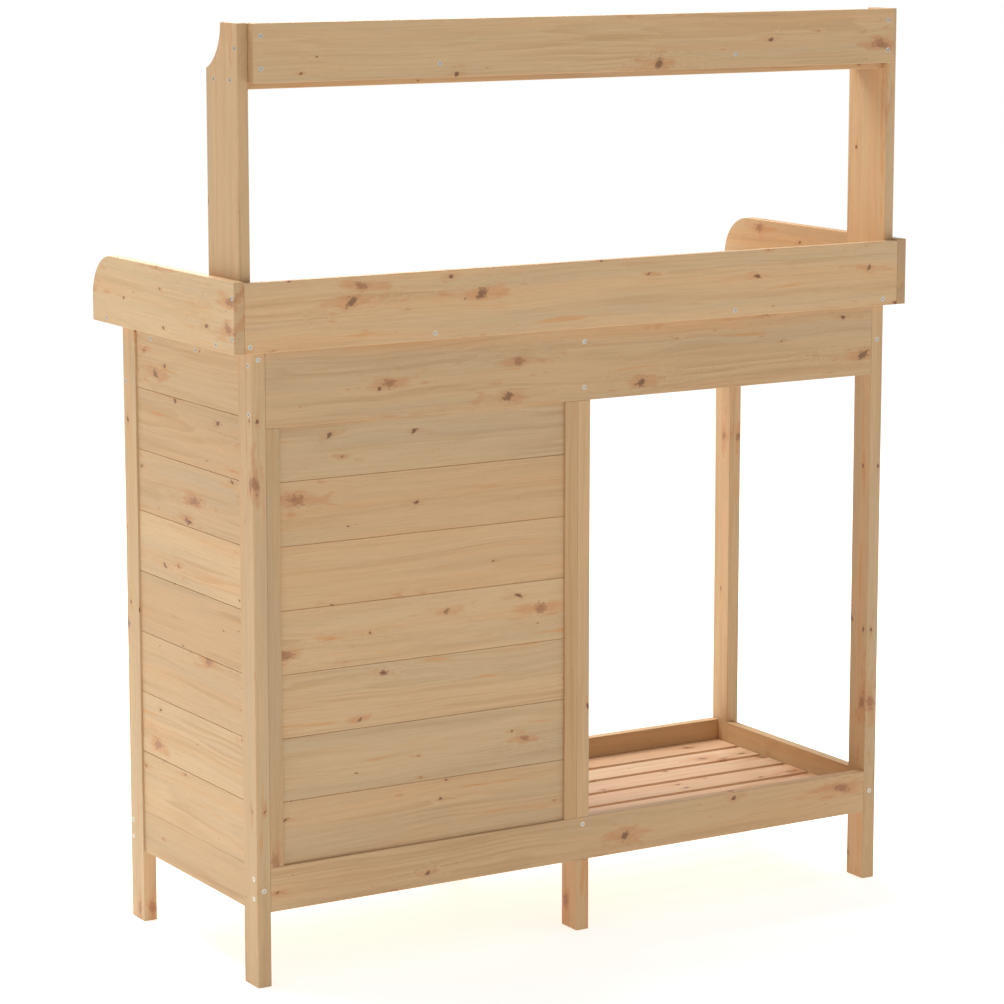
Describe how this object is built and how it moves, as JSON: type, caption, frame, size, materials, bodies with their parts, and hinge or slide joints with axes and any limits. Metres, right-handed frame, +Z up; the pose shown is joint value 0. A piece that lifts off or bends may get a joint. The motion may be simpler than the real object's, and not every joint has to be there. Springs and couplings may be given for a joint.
{
  "type": "potting bench",
  "caption": "Softwood potting bench with a planked work surface, low splash boards, an upper shelf on two uprights, an open slatted bay and a boarded cabinet with a door and a drawer.",
  "frame": {"origin": "centre of the bounding box, at the floor, under the feet", "axes": "+X to the right seen from the front, +Y to the rear, +Z up; the bench faces -Y"},
  "size_m": [1.08, 0.438, 1.276],
  "materials": {
    "leg_pine": "smooth planed, unfinished",
    "rail_pine": "smooth planed, unfinished",
    "board_pine": "smooth planed, unfinished",
    "slat_pine": "smooth planed, unfinished",
    "batten_pine": "smooth planed, unfinished",
    "knob_pine": "turned and sanded",
    "thin_ply": "thin sheet, sanded",
    "screw_steel": "zinc plated",
    "hinge_steel": "zinc plated",
    "catch_plastic": "moulded"
  },
  "bodies": {
    "frame": {"rear_right_leg": "leg_pine", "rear_middle_leg": "leg_pine", "rear_left_leg": "leg_pine", "front_right_leg": "leg_pine", "front_middle_leg": "leg_pine", "front_left_leg": "leg_pine", "rear_apron": "rail_pine", "front_apron": "rail_pine", "drawer_rail": "rail_pine", "left_side_apron": "rail_pine", "rear_bottom_rail": "rail_pine", "front_bottom_rail": "rail_pine", "left_bottom_rail": "rail_pine", "middle_bottom_rail": "rail_pine", "right_bottom_rail": "rail_pine", "top_rail": "rail_pine", "rear_splash": "rail_pine", "left_splash": "rail_pine", "right_splash": "rail_pine", "left_upright": "rail_pine", "right_upright": "rail_pine", "work_plank_1": "board_pine", "work_plank_2": "board_pine", "work_plank_3": "board_pine", "work_plank_4": "board_pine", "work_plank_5": "board_pine", "back_boards": "board_pine", "side_boards": "board_pine", "partition_boards": "board_pine", "top_shelf": "board_pine", "shelf_slat_1": "slat_pine", "shelf_slat_2": "slat_pine", "shelf_slat_3": "slat_pine", "shelf_slat_4": "slat_pine", "shelf_slat_5": "slat_pine", "shelf_slat_6": "slat_pine", "cabinet_floor_slats": "slat_pine", "slat_bearers": "batten_pine", "top_shelf_battens": "batten_pine", "top_shelf_cleats": "batten_pine", "left_back_cleat": "batten_pine", "right_back_cleat": "batten_pine", "side_batten": "batten_pine", "drawer_runners": "batten_pine", "frame_screws": "screw_steel", "hinge_leaves_frame": "hinge_steel", "hinge_pins": "hinge_steel", "catch_body": "catch_plastic"},
    "door": {"door_stiles": "rail_pine", "door_rails": "rail_pine", "door_boards": "board_pine", "door_knob": "knob_pine", "hinge_leaves_door": "hinge_steel", "door_screws": "screw_steel", "catch_plate": "hinge_steel"},
    "drawer": {"drawer_front": "rail_pine", "drawer_sides": "board_pine", "drawer_back": "board_pine", "drawer_bottom": "thin_ply", "drawer_knob": "knob_pine"}
  },
  "joints": [
    {"name": "door_hinge", "type": "hinge", "parent": "frame", "child": "door", "pos_m": [0.489, -0.1915, 0.4575], "axis": [0, 0, 1], "range_deg": [0, 170]},
    {"name": "drawer_slide", "type": "slide", "parent": "frame", "child": "drawer", "axis": [0, -1, 0], "range_m": [0, 0.25]}
  ]
}
